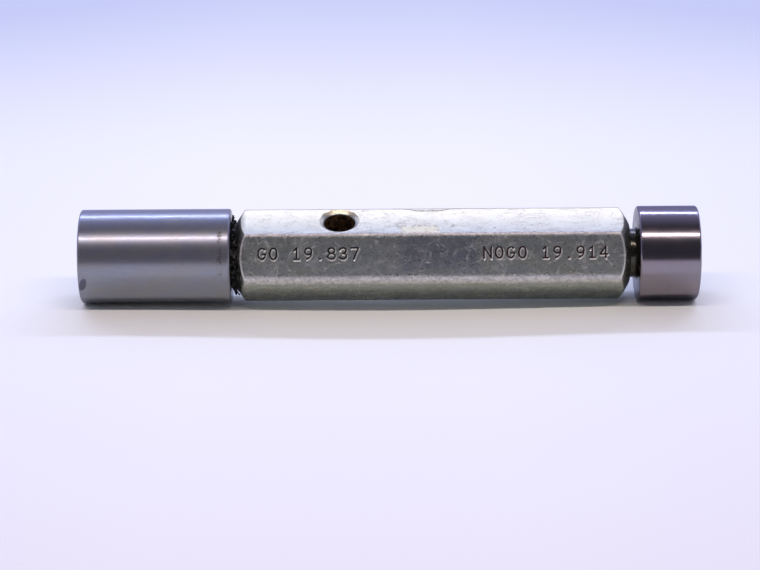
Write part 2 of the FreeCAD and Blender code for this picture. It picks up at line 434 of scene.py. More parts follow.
def nogoStains(tree, space):
    smudge = grain(tree, space, (1.1, 1.1, 0.6), 4, 0.7, 0.5, 21.0)
    return addNode(tree, mapRange, None, smudge, 0.66, 0.78, 0, 0.45), srgb("#55504e")


goLook = {
    "cool": "#8d92a0",
    "warm": "#949494",
    "dull": "#7b7a84",
    "lines": 3.2,  # to the millimetre: real grinding lines are finer, and wouldn't show
    "clouded": 0.24,
    "gritty": 0.15,
    "smooth": 0.33,
    "depth": 0.00012,
    "metal": 0.76,
    "oiled": 0.34,
    "stains": goStains,
}
nogoLook = {
    "cool": "#908a91",
    "warm": "#93898b",
    "dull": "#807c86",
    "lines": 5.0,
    "clouded": 0.3,
    "gritty": 0.25,
    "smooth": 0.2,
    "depth": 0.00025,
    "metal": 0.96,
    "oiled": 0.1,
    "stains": nogoStains,
}


def blackenedSteel():
    # the neck keeps the glossy black scale of hardening, browned by old oil
    material, tree = newMaterial("blackened_steel")
    space = millimetres(tree)
    oil = grain(tree, space, (0.8, 0.8, 1.4), 4, 0.6, 0.5)
    base = layered(tree, "#38372f", (addNode(tree, mapRange, None, oil, 0.35, 0.7), "#5c5a50"))
    rough = addNode(tree, mapRange, None, oil, 0.35, 0.7, 0.14, 0.3)
    finish(tree, {"Metallic": 0.8}, Base_Color=base, Roughness=rough, Normal=relief(tree, (oil, 0.004)))
    return material


plating = {
    "metal": "#b3bbb5",
    "olive": "#a7aa97",
    "dull": "#939696",
    "clean": "#999fac",
    "haze": "#c2c6be",
    "residue": "#e4e1c4",
    # the drift hole's flat: its tint is partly yellowed nickel and partly a painted highlight from the back
    # lamp, fading to painted shade at its foot
    "upper": "#d7cba5",
    "upperFootPaintedShade": "#adaa98",
    # worn corners: partly wear, partly a painted highlight along them
    "worn": "#e2dedc",
    # for grime on the domed ends, and for painted shade on the flat that faces the sheet
    "grimeAndShade": "#46453b",
    "dark": "#3d3c36",
    # for pale scratches, and for the painted highlight along the ridges
    "pale": "#e6e4dc",
    "roughness": 0.31,
    "label": (67.8, 83.8, -4.6, 2.7),  # where a label kept it clean: its ends up the gauge and across a flat
    "torn": (67.7, 75.6, 2.1, 4.8),  # and where residue is left, on the drift hole's flat
}


def flatSpace(tree, space, degrees):
    # on one flat of the bar: how far round from its middle, and 1 where the flat is
    angle = math.radians(degrees)
    normal = Vector((math.cos(angle), math.sin(angle), 0))
    across = addNode(tree, vectorMaths, "DOT_PRODUCT", space, Vector((-math.sin(angle), math.cos(angle), 0)))
    out = addNode(tree, vectorMaths, "DOT_PRODUCT", space, normal)
    onFlat = addNode(tree, mapRange, None, out, 8.2, 8.5)
    return across, onFlat


def platedSteel():
    # dull nickel on a drawn bar, yellowed and smeared by handling, with scratches, pits and worn corners;
    # some of its colour is painted light: highlights along the corners and ridges on the camera's side, a
    # graded highlight and dark scratches on the drift hole's flat, and shade along the flat that faces the
    # sheet
    material, tree = newMaterial("worn_plated_steel")
    space = millimetres(tree)
    along = addNode(tree, vectorMaths, "DOT_PRODUCT", space, axis)
    drawn = grain(tree, space, (3.0, 3.0, 0.05), 4, 0.7)  # the drawing die's lines, coarse enough to show
    smears = grain(tree, space, (0.3, 0.3, 0.16), 5, 0.65, 0.9, 5.0)
    mottle = grain(tree, space, (2.2, 2.2, 1.8), 4, 0.7, 0.3, 17.0)
    fine = grain(tree, space, (8.0, 8.0, 7.0), 3, 0.7, 0.0, 41.0)

    # hairline scratches: the level lines of long soft noises lying three ways, broken up
    scratches = []
    for lean, shift in ((0.35, 3.0), (-0.75, 27.0), (1.25, 61.0)):
        tilted = addNode(tree, "ShaderNodeMapping", {"Rotation": (0, lean, 0)}, Vector=space)
        ways = grain(tree, tilted, (1.3, 1.3, 0.16), 2, 0.5, 0.2, shift)
        off = addNode(tree, maths, "ABSOLUTE", addNode(tree, maths, "SUBTRACT", ways, 0.5))
        line = addNode(tree, mapRange, None, off, 0.008, 0.028, 1, 0)
        gaps = grain(tree, tilted, (0.7, 0.7, 0.25), 3, 0.6, 0.0, shift + 9)
        scratches.append(product(tree, line, addNode(tree, mapRange, None, gaps, 0.51, 0.6)))
    scratched = product(
        tree, anyOf(tree, *scratches), addNode(tree, mapRange, None, smears, 0.36, 0.52, 0.4, 1)
    )

    # pits, in clusters
    seeds = grain(tree, space, (2.3, 2.3, 1.9), 4, 0.6, 1.8, 71.0)
    clusters = grain(tree, space, (0.16, 0.16, 0.11), 2, 0.5, 0.0, 37.0)
    limit = addNode(tree, mapRange, None, clusters, 0.58, 0.74, 0.93, 0.79)
    above = addNode(tree, maths, "SUBTRACT", seeds, limit)
    pits = addNode(tree, mapRange, None, above, 0.0, 0.025)

    # the rectangle on the lettered flat where a label kept it clean
    front, onFront = flatSpace(tree, space, 270)
    edgy = product(tree, addNode(tree, maths, "SUBTRACT", mottle, 0.5), 5.0)
    start, end, left, right = plating["label"]
    label = product(
        tree,
        inside(tree, addNode(tree, maths, "ADD", along, edgy), start, end, 0.7),
        inside(tree, addNode(tree, maths, "ADD", front, edgy), left, right, 1.5),
        onFront,
    )

    # on the drift hole's flat: torn residue, and a crack in the coating that dips along the far edge
    upper, onUpper = flatSpace(tree, space, 210)
    start, end, left, right = plating["torn"]
    patch = product(
        tree,
        inside(tree, addNode(tree, maths, "ADD", along, edgy), start, end, 0.12),
        inside(tree, addNode(tree, maths, "ADD", upper, edgy), left, right, 0.12),
        onUpper,
    )
    dip = inside(tree, along, 69.5, 77.5, 2.2)
    line = addNode(tree, maths, "MULTIPLY_ADD", dip, 1.1, -4.6)
    off = addNode(tree, maths, "MULTIPLY_ADD", edgy, 0.12, addNode(tree, maths, "SUBTRACT", upper, line))
    off = addNode(tree, maths, "ABSOLUTE", off)
    crack = addNode(tree, mapRange, None, off, 0.08, 0.2, 1, 0)
    crack = product(tree, crack, inside(tree, along, 66, 80.5, 0.4), onUpper)
    rim = product(tree, patch, addNode(tree, mapRange, None, patch, 0.5, 0.9, 1, 0))
    tear = product(tree, rim, addNode(tree, mapRange, None, seeds, 0.46, 0.56))

    haze = grain(tree, space, (0.55, 0.55, 0.3), 5, 0.7, 0.8, 83.0)
    hazy = addNode(tree, mapRange, None, haze, 0.52, 0.7)
    # painted light: the drift hole's flat, which mirrors the back lamp, gets its own tint, a painted
    # highlight at its far edge that grades to painted shade at its foot
    shade = layered(
        tree, plating["upper"], (addNode(tree, mapRange, None, upper, -2.5, 4.5), plating["upperFootPaintedShade"])
    )
    # painted shade: the flat that faces the sheet is darkened towards its lower edge, where it mirrors the
    # shadow under the gauge
    lower, onLower = flatSpace(tree, space, 330)
    paintedShadeBelow = product(tree, onLower, addNode(tree, mapRange, None, lower, -3.5, 2.5, 0, 0.3))
    # the corners on the camera's side are rubbed through to paler, rougher metal; the paler colour is partly
    # wear and partly a painted highlight along them
    out = addNode(tree, vectorMaths, "LENGTH", addNode(tree, vectorMaths, "MULTIPLY", space, (1, 1, 0)))
    ahead = addNode(tree, vectorMaths, "DOT_PRODUCT", space, Vector((-0.5, -0.866, 0)))
    crisp = addNode(tree, mapRange, None, ahead, 8.9, 9.1, 0, 0.33)
    beyond = addNode(tree, maths, "SUBTRACT", addNode(tree, maths, "MULTIPLY_ADD", edgy, 0.12, out), crisp)
    ahead = addNode(tree, vectorMaths, "DOT_PRODUCT", space, facing)
    corner = product(
        tree, addNode(tree, mapRange, None, beyond, 9.4, 9.56), addNode(tree, mapRange, None, ahead, 2, 4)
    )
    bruises = grain(tree, space, (1.2, 1.2, 0.9), 4, 0.7, 0.6, 47.0)
    scuffs = addNode(tree, mapRange, None, bruises, 0.44, 0.6)

    # old oil has darkened both domed ends, most at the GO plug
    ends = anyOf(
        tree,
        addNode(tree, mapRange, None, along, 33.6, 35.2, 1, 0),
        addNode(tree, mapRange, None, along, 114.2, 115.2, 0, 0.75),
    )
    grimy = product(tree, ends, addNode(tree, mapRange, None, out, 9.3, 8.6, 0.4, 1))
    # and the ridge where the lettered flat meets each dome is painted pale: a painted highlight along the
    # rounded edge
    off = addNode(
        tree, maths, "ABSOLUTE", addNode(tree, maths, "SUBTRACT", along, bar["Foot"] + bar["Length"] / 2)
    )
    ridges = []
    for centre in (46.2, 102.3):
        away = addNode(tree, vectorMaths, "DISTANCE", space, axis * centre)
        ridges.append(inside(tree, away, 14.78, 15.1, 0.1))
    ahead = addNode(tree, vectorMaths, "DOT_PRODUCT", space, Vector((0, -1, 0)))
    paintedRidgeHighlight = product(
        tree,
        anyOf(tree, *ridges),
        addNode(tree, mapRange, None, off, 36, 37),
        addNode(tree, mapRange, None, ahead, 8.4, 8.58),
    )
    pale = product(tree, scratched, addNode(tree, maths, "SUBTRACT", 1.0, onUpper))
    # on the drift hole's flat, which mirrors the lamp, the scratches are painted dark instead: painted shade
    # where they don't mirror it
    scratchesPaintedDark = product(tree, scratched, onUpper, 0.44)
    marks = anyOf(tree, pits, crack, tear, scratchesPaintedDark)

    base = layered(
        tree,
        plating["metal"],
        (addNode(tree, mapRange, None, smears, 0.36, 0.66), plating["olive"]),
        (addNode(tree, mapRange, None, mottle, 0.4, 0.75, 0, 0.55), plating["dull"]),
        (addNode(tree, mapRange, None, drawn, 0.5, 0.8, 0, 0.4), plating["dull"]),
        (product(tree, label, 0.5), plating["clean"]),
        (product(tree, hazy, 0.6), plating["haze"]),
        (product(tree, onUpper, 0.8), shade),
        (patch, plating["residue"]),
        (paintedShadeBelow, plating["grimeAndShade"]),
        (product(tree, corner, 0.7), plating["worn"]),
        (product(tree, corner, scuffs, 0.5), plating["dull"]),
        (product(tree, grimy, 0.95), plating["grimeAndShade"]),
        (product(tree, paintedRidgeHighlight, 0.8), plating["pale"]),
        (product(tree, pale, 0.54), plating["pale"]),
        (product(tree, marks, 0.8), plating["dark"]),
    )

    metal = addNode(tree, mapRange, None, smears, 0.35, 0.65, 0.94, 0.83)
    for mask, change in ((hazy, -0.1), (label, 0.08), (pale, -0.32), (paintedRidgeHighlight, -0.2)):
        metal = addNode(tree, maths, "MULTIPLY_ADD", mask, change, metal)
    metal = addNode(tree, maths, {"operation": "MULTIPLY_ADD", "use_clamp": True}, patch, -0.35, metal)
    rough = addNode(
        tree, mapRange, None, mottle, 0.35, 0.7, plating["roughness"] - 0.06, plating["roughness"] + 0.08
    )
    scuffed = product(tree, corner, addNode(tree, mapRange, None, scuffs, 0, 1, 0.04, 0.2))
    for mask, change in ((patch, 0.2), (onUpper, 0.08), (scuffed, 1.0)):
        rough = addNode(tree, maths, "MULTIPLY_ADD", mask, change, rough)

    rubbed = product(tree, mottle, corner)
    raised = addNode(tree, maths, "SUBTRACT", patch, product(tree, marks, 1.5))
    surface = relief(tree, (drawn, 0.0025), (fine, 0.0005), (smears, 0.02), (rubbed, 0.05), (raised, 0.02))
    finish(tree, {}, Base_Color=base, Metallic=metal, Roughness=rough, Normal=surface)
    return material


def boredSteel(name, dark, light, roughness):
    # inside the handle: a reamed wall, dark with old oil, rusty where the air reaches it
    material, tree = newMaterial(name)
    space = millimetres(tree)
    blotches = grain(tree, space, (0.9, 0.9, 0.9), 5, 0.7, 0.8)
    base = layered(tree, dark, (addNode(tree, mapRange, None, blotches, 0.4, 0.68), light))
    metal = addNode(tree, mapRange, None, blotches, 0.45, 0.62, 0.7, 0.1)
    surface = relief(tree, (blotches, 0.03))
    finish(tree, {"Roughness": roughness}, Base_Color=base, Metallic=metal, Normal=surface)
    return material


def engravingPaint(name, colour):
    # matt paint wiped into the engraving; it has worn off the upper part of the groove here and there
    material, tree = newMaterial(name)
    space = millimetres(tree)
    wear = grain(tree, space, (1.5, 1.5, 1.0), 4, 0.7, 0.4, 13.0)
    inward = addNode(tree, vectorMaths, "DOT_PRODUCT", space, Vector((0, 1, 0)))
    depth = addNode(tree, maths, "ADD", inward, bar["Across Flats"] / 2)
    depth = addNode(tree, maths, "ADD", depth, addNode(tree, mapRange, None, wear, 0.45, 0.7, 0, -0.09))
    left = addNode(tree, mapRange, None, depth, 0.0, 0.04)
    base = layered(tree, plating["dull"], (left, colour))
    metal = addNode(tree, maths, "SUBTRACT", 0.7, product(tree, left, 0.7))
    finish(tree, {"Roughness": 0.55, "Specular IOR Level": 0.3}, Base_Color=base, Metallic=metal)
    return material


def burnishedLip():
    # bare metal thrown up beside the engraving and rubbed bright
    material, tree = newMaterial("burnished_lip")
    rubbed = grain(tree, millimetres(tree), (2.0, 2.0, 2.0), 3, 0.6)
    rough = addNode(tree, mapRange, None, rubbed, 0.3, 0.7, 0.36, 0.5)
    finish(tree, {"Base Color": srgb("#dcdcd2"), "Metallic": 0.85}, Roughness=rough)
    return material


def driedGrease():
    # thick black grease, dry on the outside, with a little shine left
    material, tree = newMaterial("dried_black_grease")
    space = millimetres(tree)
    lumps = grain(tree, space, (2.5, 2.5, 2.5), 4, 0.7)
    base = layered(tree, "#0b0b0a", (lumps, "#191814"))
    rough = addNode(tree, mapRange, None, lumps, 0.3, 0.7, 0.25, 0.55)
    finish(tree, {}, Base_Color=base, Roughness=rough, Normal=relief(tree, (lumps, 0.04)))
    return material


bar = {
    "Length": 83.0,
    "Across Flats": 17.4625,
    "Corner Radius": 2.0,
    "Crisper": 1.2,
    "Dome Radius": 15.0,
    "GO Face": 7.0,
    "NOGO Face": 6.3,
    "Edge Softness": 0.35,
    "Crown": 0.06,  # how far buffing has lowered a flat's sides below its middle
    "Foot": 32.95,
    "Columns": 241,
    "Rings": 125,
}
steel = {
    "go": groundSteel("ground_tool_steel", goLook),
    "nogo": groundSteel("lapped_tool_steel", nogoLook),
    "neck": blackenedSteel(),
    "plated": platedSteel(),
    "bore": boredSteel("oily_bored_steel", "#3a342c", "#6a5c4c", 0.45),
    "rust": boredSteel("rusty_hole_wall", "#1f1a15", "#7a5a38", 0.6),
    "goPaint": engravingPaint("black_engraving_paint", "#0c100f"),
    "nogoPaint": engravingPaint("maroon_engraving_paint", "#260b10"),
    "lip": burnishedLip(),
    "grease": driedGrease(),
}
print("materials mixed")


def joinMeshes(name, parts):
    # one mesh of many closed ones, each turned outward, with their materials
    whole = bpy.data.meshes.new(name)
    made = bmesh.new()
    for part in parts:
        smoothByAngle(part, 60)
        first = len(whole.materials)
        for material in part.materials:
            whole.materials.append(material)
        count = len(made.faces)
        made.from_mesh(part)
        made.faces.ensure_lookup_table()
        for face in made.faces[count:]:
            face.material_index += first
    made.to_mesh(whole)
    made.free()
    return whole


def roundOff(corners, steps=5):
    # an outline of (radius, height, rounding) corners, with each rounded one drawn as an arc
    points = []
    for index, (across, along, rounding) in enumerate(corners):
        here = Vector((across, along))
        if not rounding:
            points.append(here)
            continue
        back = (Vector(corners[index - 1][:2]) - here).normalized()
        ahead = (Vector(corners[index + 1][:2]) - here).normalized()
        half = back.angle(ahead) / 2
        middle = here + (back + ahead).normalized() * rounding / math.sin(half)
        first = here + back * rounding / math.tan(half) - middle
        last = here + ahead * rounding / math.tan(half) - middle
        turn = first.angle_signed(last)
        for step in range(steps + 1):
            angle = -turn * step / steps
            points.append(middle + Matrix.Rotation(angle, 2) @ first)
    return points


def latheMesh(name, points, segments, bands, materials):
    # turns an outline about Z; bands gives the material of each stretch between points
    mesh = bpy.data.meshes.new(name)
    made = bmesh.new()
    rings = []
    for point in points:
        if point.x < 1e-6:
            rings.append([made.verts.new((0, 0, point.y * mm))])
            continue
        ring = []
        for step in range(segments):
            angle = 2 * math.pi * step / segments
            ring.append(
                made.verts.new((point.x * math.cos(angle) * mm, point.x * math.sin(angle) * mm, point.y * mm))
            )
        rings.append(ring)
    for index in range(len(rings) - 1):
        low, high = rings[index], rings[index + 1]
        for step in range(segments):
            after = (step + 1) % segments
            if len(low) == 1:
                corners = (low[0], high[step], high[after])
            elif len(high) == 1:
                corners = (low[step], low[after], high[0])
            else:
                corners = (low[step], low[after], high[after], high[step])
            made.faces.new(corners).material_index = bands(points[index], points[index + 1])
    bmesh.ops.recalc_face_normals(made, faces=made.faces)
    made.to_mesh(mesh)
    made.free()
    for material in materials:
        mesh.materials.append(material)
    return mesh


# sizes as in the part's source, and the small roundings that a turned and ground gauge really has
members = {
    "go_member": {"radius": 9.9185, "length": 31.75, "gap": 1.2, "foot": 0, "up": 1, "steel": "go"},
    "nogo_member": {"radius": 9.957, "length": 12.7, "gap": 1.7, "foot": 130.35, "up": -1, "steel": "nogo"},
}
turned = {
    "seatRadius": 5.15,
    "taper": 1 / 96,
    "shank": 18.4,
    "fillet": 1.0,
    "rim": 0.3,
    "rimSoft": 0.1,
    "mouth": 2.0,
    "pilot": 0.8,
    "pilotDepth": 3.6,
    "segments": 256,
}


def makeMember(name, sizes):
    radius, back, soft = sizes["radius"], sizes["length"], turned["rimSoft"]
    root = turned["seatRadius"] + sizes["gap"] * turned["taper"]
    tip = turned["seatRadius"] - turned["shank"] * turned["taper"]
    end = back + sizes["gap"] + turned["shank"]
    cone = (turned["mouth"] - turned["pilot"]) / math.tan(math.radians(30))
    rim = turned["rim"]
    outline = [
        (0, turned["pilotDepth"], 0),
        (turned["pilot"], turned["pilotDepth"], 0),
        (turned["pilot"], cone, 0),
        (turned["mouth"], 0, 0.05),
        (radius - rim, 0, soft),
        (radius, rim, soft),
        (radius, back - rim, soft),
        (radius - rim, back, soft),
        (root, back, turned["fillet"]),
        (tip, end, 0.1),
        (turned["mouth"], end, 0.05),
        (turned["pilot"], end - cone, 0),
        (turned["pilot"], end - turned["pilotDepth"], 0),
        (0, end - turned["pilotDepth"], 0),
    ]
    points = [Vector((p.x, sizes["foot"] + sizes["up"] * p.y)) for p in roundOff(outline)]

    def band(one, other):
        height = (one.y + other.y) / 2 - sizes["foot"]
        deep = abs(height) > back - 0.05 and (one.x + other.x) / 2 < root + 1.2
        return 1 if deep else 0

    coats = [steel[sizes["steel"]], steel["neck"]]
    mesh = latheMesh(name + "_turned", points, turned["segments"], band, coats)
    smoothByAngle(mesh, 35)
    piece = newObject(name + "_turned", mesh)
    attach(piece, "root")
    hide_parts(name)


for name, sizes in members.items():
    makeMember(name, sizes)
print("members turned")


def flatGrid(tree, given):
    # a grid to be rolled up, and how far across and up it each point lies, from -0.5 to 0.5
    grid = addNode(
        tree,
        "GeometryNodeMeshGrid",
        {"Size X": 1.0, "Size Y": 1.0},
        Vertices_X=given["Columns"],
        Vertices_Y=given["Rings"],
    )
    split = addNode(tree, "ShaderNodeSeparateXYZ", None, addNode(tree, "GeometryNodeInputPosition"))
    return grid, split.outputs["X"], split.outputs["Y"]


def rolled(tree, radius, turn, height):
    # the place at this radius and angle about the gauge's axis
    x = product(tree, radius, addNode(tree, maths, "COSINE", turn))
    y = product(tree, radius, addNode(tree, maths, "SINE", turn))
    return addNode(tree, "ShaderNodeCombineXYZ", None, x, y, height)


def rollUp(tree, grid, place):
    # moves the grid's points to their places in millimetres, and closes its seam and ends
    scaled = addNode(tree, vectorMaths, "SCALE", place, Scale=mm)
    moved = addNode(tree, "GeometryNodeSetPosition", None, Geometry=grid, Position=scaled)
    return addNode(tree, "GeometryNodeMergeByDistance", {"Distance": 1e-6}, Geometry=moved)


def barTree():
    # a grid rolled into a hexagonal bar with rounded corners, whose ends are turned to a dome
    tree, given = newTree("hexagonal_bar", bar)
    grid, x, y = flatGrid(tree, given)
    turn = product(tree, addNode(tree, maths, "ADD", x, 0.5), 2 * math.pi)
    side = product(tree, y, 2)
    out = addNode(tree, maths, "ABSOLUTE", side)

    # half of the rings crowd into the last 3 mm at each end; the outermost closes the end face
    half = addNode(tree, maths, "DIVIDE", given["Length"], 2)
    coarse = product(
        tree, addNode(tree, mapRange, None, out, 0, 0.5), addNode(tree, maths, "SUBTRACT", half, 3)
    )
    fine = addNode(tree, mapRange, None, out, 0.5, 1 - 2 / (bar["Rings"] - 1), 0, 3)
    reach = addNode(tree, maths, "ADD", coarse, fine)
    height = product(tree, reach, addNode(tree, maths, "SIGN", side))
    depth = addNode(tree, maths, "SUBTRACT", half, reach)

    above = addNode(tree, maths, "GREATER_THAN", side, 0)
    wider = addNode(tree, maths, "SUBTRACT", given["NOGO Face"], given["GO Face"])
    face = addNode(tree, maths, "MULTIPLY_ADD", wider, above, given["GO Face"])
    square = product(tree, given["Dome Radius"], given["Dome Radius"])
    toFace = addNode(tree, maths, "SQRT", addNode(tree, maths, "SUBTRACT", square, product(tree, face, face)))
    below = addNode(tree, maths, "MAXIMUM", addNode(tree, maths, "SUBTRACT", toFace, depth), 0)
    dome = addNode(tree, maths, "SQRT", addNode(tree, maths, "SUBTRACT", square, product(tree, below, below)))

    sixth = math.pi / 6
    fromFlat = addNode(tree, maths, "SUBTRACT", addNode(tree, maths, "MODULO", turn, 2 * sixth), sixth)
    fromFlat = addNode(tree, maths, "ABSOLUTE", fromFlat)
    # the corner between the lettered flat and the drift hole's is less worn than the rest
    away = addNode(tree, maths, "ABSOLUTE", addNode(tree, maths, "SUBTRACT", turn, 8 * sixth))
    crisp = addNode(tree, mapRange, None, away, 0.15, 0.3, 1, 0)
    rounding = addNode(
        tree, maths, "SUBTRACT", given["Corner Radius"], product(tree, crisp, given["Crisper"])
    )
    apothem = addNode(tree, maths, "DIVIDE", given["Across Flats"], 2)
    flat = addNode(tree, maths, "DIVIDE", apothem, addNode(tree, maths, "COSINE", fromFlat))
    inner = addNode(tree, maths, "SUBTRACT", apothem, rounding)
    toCentre = addNode(tree, maths, "DIVIDE", inner, math.cos(sixth))
    fromCorner = addNode(tree, maths, "SUBTRACT", sixth, fromFlat)
    aside = product(tree, toCentre, addNode(tree, maths, "SINE", fromCorner))
    chord = addNode(tree, maths, "SUBTRACT", product(tree, rounding, rounding), product(tree, aside, aside))
    corner = product(tree, toCentre, addNode(tree, maths, "COSINE", fromCorner))
    corner = addNode(tree, maths, "ADD", corner, addNode(tree, maths, "SQRT", chord))
    turning = product(tree, addNode(tree, maths, "DIVIDE", inner, apothem), math.tan(sixth))
    turning = addNode(tree, maths, "ARCTANGENT", turning)
    rounded = addNode(tree, maths, "GREATER_THAN", fromFlat, turning)
    further = addNode(tree, maths, "SUBTRACT", corner, flat)
    hexagon = addNode(tree, maths, "MULTIPLY_ADD", further, rounded, flat)

    unclosed = addNode(tree, maths, "LESS_THAN", out, 1 - 1 / bar["Rings"])
    across = addNode(tree, maths, "DIVIDE", addNode(tree, maths, "MINIMUM", fromFlat, turning), turning)
    hexagon = addNode(tree, maths, "SUBTRACT", hexagon, product(tree, across, across, given["Crown"]))
    radius = product(
        tree, addNode(tree, maths, "SMOOTH_MIN", hexagon, dome, given["Edge Softness"]), unclosed
    )
    level = addNode(tree, maths, "ADD", addNode(tree, maths, "ADD", given["Foot"], half), height)
    endTree(tree, rollUp(tree, grid, rolled(tree, radius, turn, level)), given["Material"])
    return tree


lettering = {
    "height": 2.32,
    "width": 1.48,
    "pitch": 2.43,
    "groove": {"cutter": 0.26, "lift": 0.09, "lower": 0, "after": 0},  # 0.17 mm deep
    "lip": {"cutter": 0.44, "lift": 0.31, "lower": 0.19, "after": 0.1},  # burnished off beside each groove
    "aside": -0.93,  # the line's middle from the flat's, towards -X
    "goFrom": 37.8,
    "nogoFrom": 85.0,
}


def bow(across, up, wide, high, start, end, steps=12):
    # part of an oval, from one angle to another
    angles = [math.radians(start + (end - start) * i / steps) for i in range(steps + 1)]
    return [(across + wide * math.cos(a), up + high * math.sin(a)) for a in angles]


# single strokes in a cell one wide and one high, as an engraving cutter follows them
strokes = {
    "G": [bow(0.5, 0.5, 0.5, 0.5, 48, 345) + [(1, 0.44), (0.56, 0.44)]],
    "O": [bow(0.5, 0.5, 0.5, 0.5, 0, 360, 22)],
    "N": [[(0, 0), (0, 1), (1, 0), (1, 1)]],
    "1": [[(0.18, 0.8), (0.5, 1), (0.5, 0)], [(0.16, 0), (0.84, 0)]],
    "3": [bow(0.46, 0.75, 0.46, 0.25, 155, -90) + bow(0.46, 0.26, 0.5, 0.26, 90, -155)],
    "4": [[(0.76, 0), (0.76, 1), (0, 0.3), (1, 0.3)]],
    "7": [[(0, 1), (1, 1), (0.36, 0)]],
    "8": [bow(0.5, 0.76, 0.42, 0.24, -90, 270, 18), bow(0.5, 0.26, 0.5, 0.26, 90, 450, 20)],
    "9": [bow(0.5, 0.7, 0.46, 0.3, 0, 360, 18), bow(0.02, 0.62, 0.95, 0.62, 8, -72, 8)],
    ".": [[(0.45, 0.02), (0.55, 0.02)]],
}


def straightened(stroke):
    # a stroke's parts between its sharp corners, because a tube thins where its path turns sharply
    parts = [[stroke[0]]]
    for index in range(1, len(stroke)):
        parts[-1].append(stroke[index])
        if index < len(stroke) - 1:
            before = Vector(stroke[index]) - Vector(stroke[index - 1])
            after = Vector(stroke[index + 1]) - Vector(stroke[index])
            if before.angle(after) > math.radians(40):
                parts.append([stroke[index]])
    return parts


def strokeMesh(text, start, lift, lower, after):
    # the strokes of one line of text as loose edges over the lettered flat; it reads up the gauge
    mesh = bpy.data.meshes.new("strokes")
    spots, edges = [], []
    level = -(bar["Across Flats"] / 2 + lift)
    for place, letter in enumerate(text):
        for stroke in [part for whole in strokes.get(letter, []) for part in straightened(whole)]:
            loop = (Vector(stroke[0]) - Vector(stroke[-1])).length < 1e-6
            points = stroke[:-1] if loop else stroke
            first = len(spots)
            for across, up in points:
                along = start + after + place * lettering["pitch"] + across * lettering["width"]
                high = lettering["aside"] + lower - (up - 0.5) * lettering["height"]
                spots.append(Vector((high, level, along)) * mm)
            count = len(points)
            edges += [(first + i, first + i + 1) for i in range(count - 1)]
            if loop:
                edges.append((first + count - 1, first))
    mesh.from_pydata(spots, edges, [])
    return mesh


def strokeTree():
    tree, given = newTree("engraved_strokes", {"Cutter Radius": 0.0})
    path = addNode(tree, "GeometryNodeMeshToCurve", None, Mesh=given["Geometry"])
    tip = addNode(tree, "GeometryNodeCurvePrimitiveCircle", {"Resolution": 12}, Radius=given["Cutter Radius"])
    tube = addNode(tree, "GeometryNodeCurveToMesh", {"Fill Caps": True}, Curve=path, Profile_Curve=tip)
    ball = addNode(tree, "GeometryNodeMeshIcoSphere", {"Subdivisions": 2}, Radius=given["Cutter Radius"])
    ends = addNode(tree, "GeometryNodeCurveEndpointSelection")
    balls = addNode(tree, "GeometryNodeInstanceOnPoints", None, Points=path, Selection=ends, Instance=ball)
    both = addNode(tree, "GeometryNodeJoinGeometry", None, [tube, balls])
    endTree(tree, both, given["Material"])
    return tree


nicks = {"Overall": 3500.0, "On Corners": 170000.0, "Seed": 11, "Largest": 0.19}


def nickTree():
    # small dents, thickest along the two corners beside the lettered flat
    tree, given = newTree("nicks", nicks)
    place = addNode(tree, "GeometryNodeInputPosition")
    split = addNode(tree, "ShaderNodeSeparateXYZ", None, Vector=place)
    across = addNode(tree, maths, "ABSOLUTE", split.outputs["X"])
    slope = addNode(tree, maths, "ARCTAN2", across, split.outputs["Y"])
    away = addNode(tree, maths, "ABSOLUTE", addNode(tree, maths, "SUBTRACT", slope, math.radians(150)))
    nearCorner = addNode(tree, mapRange, None, away, math.radians(3), math.radians(6), 1, 0)
    # scattered everywhere as densely as on the corners, then thinned out on the flats
    scattered = addNode(
        tree,
        "GeometryNodeDistributePointsOnFaces",
        None,
        Mesh=given["Geometry"],
        Density=given["On Corners"],
        Seed=given["Seed"],
    )
    least = addNode(tree, maths, "DIVIDE", given["Overall"], given["On Corners"])
    share = addNode(tree, maths, "ADD", nearCorner, least)
    draw = addNode(tree, "FunctionNodeRandomValue", {"data_type": "FLOAT", "Seed": 3})
    spare = addNode(tree, maths, "GREATER_THAN", draw, share)
    kept = addNode(
        tree, "GeometryNodeDeleteGeometry", None, Geometry=scattered.outputs["Points"], Selection=spare
    )
    ball = addNode(tree, "GeometryNodeMeshIcoSphere", {"Subdivisions": 2, "Radius": 1.0})
    size = addNode(
        tree,
        "FunctionNodeRandomValue",
        {"data_type": "FLOAT_VECTOR", 0: (0.3, 0.3, 0.2), 1: (1.0, 2.4, 0.55)},
        Seed=given["Seed"],
    )
    fit = product(tree, given["Largest"], mm)
    scale = addNode(tree, vectorMaths, "SCALE", size, Scale=fit)
    dents = addNode(
        tree,
        "GeometryNodeInstanceOnPoints",
        None,
        Points=kept,
        Instance=ball,
        Rotation=scattered.outputs["Rotation"],
        Scale=scale,
    )
    endTree(tree, dents, given["Material"])
    return tree


hole = {
    "radius": 3.3,
    "mouth": 4.2,
    "sunk": 0.62,
    "height": 54.75,
    "turn": 210,
    "beyond": 12,
}
bore = {"seat": 5.15, "deep": 27, "radius": 3.96875, "mouthBreak": 0.15, "beyond": 1}


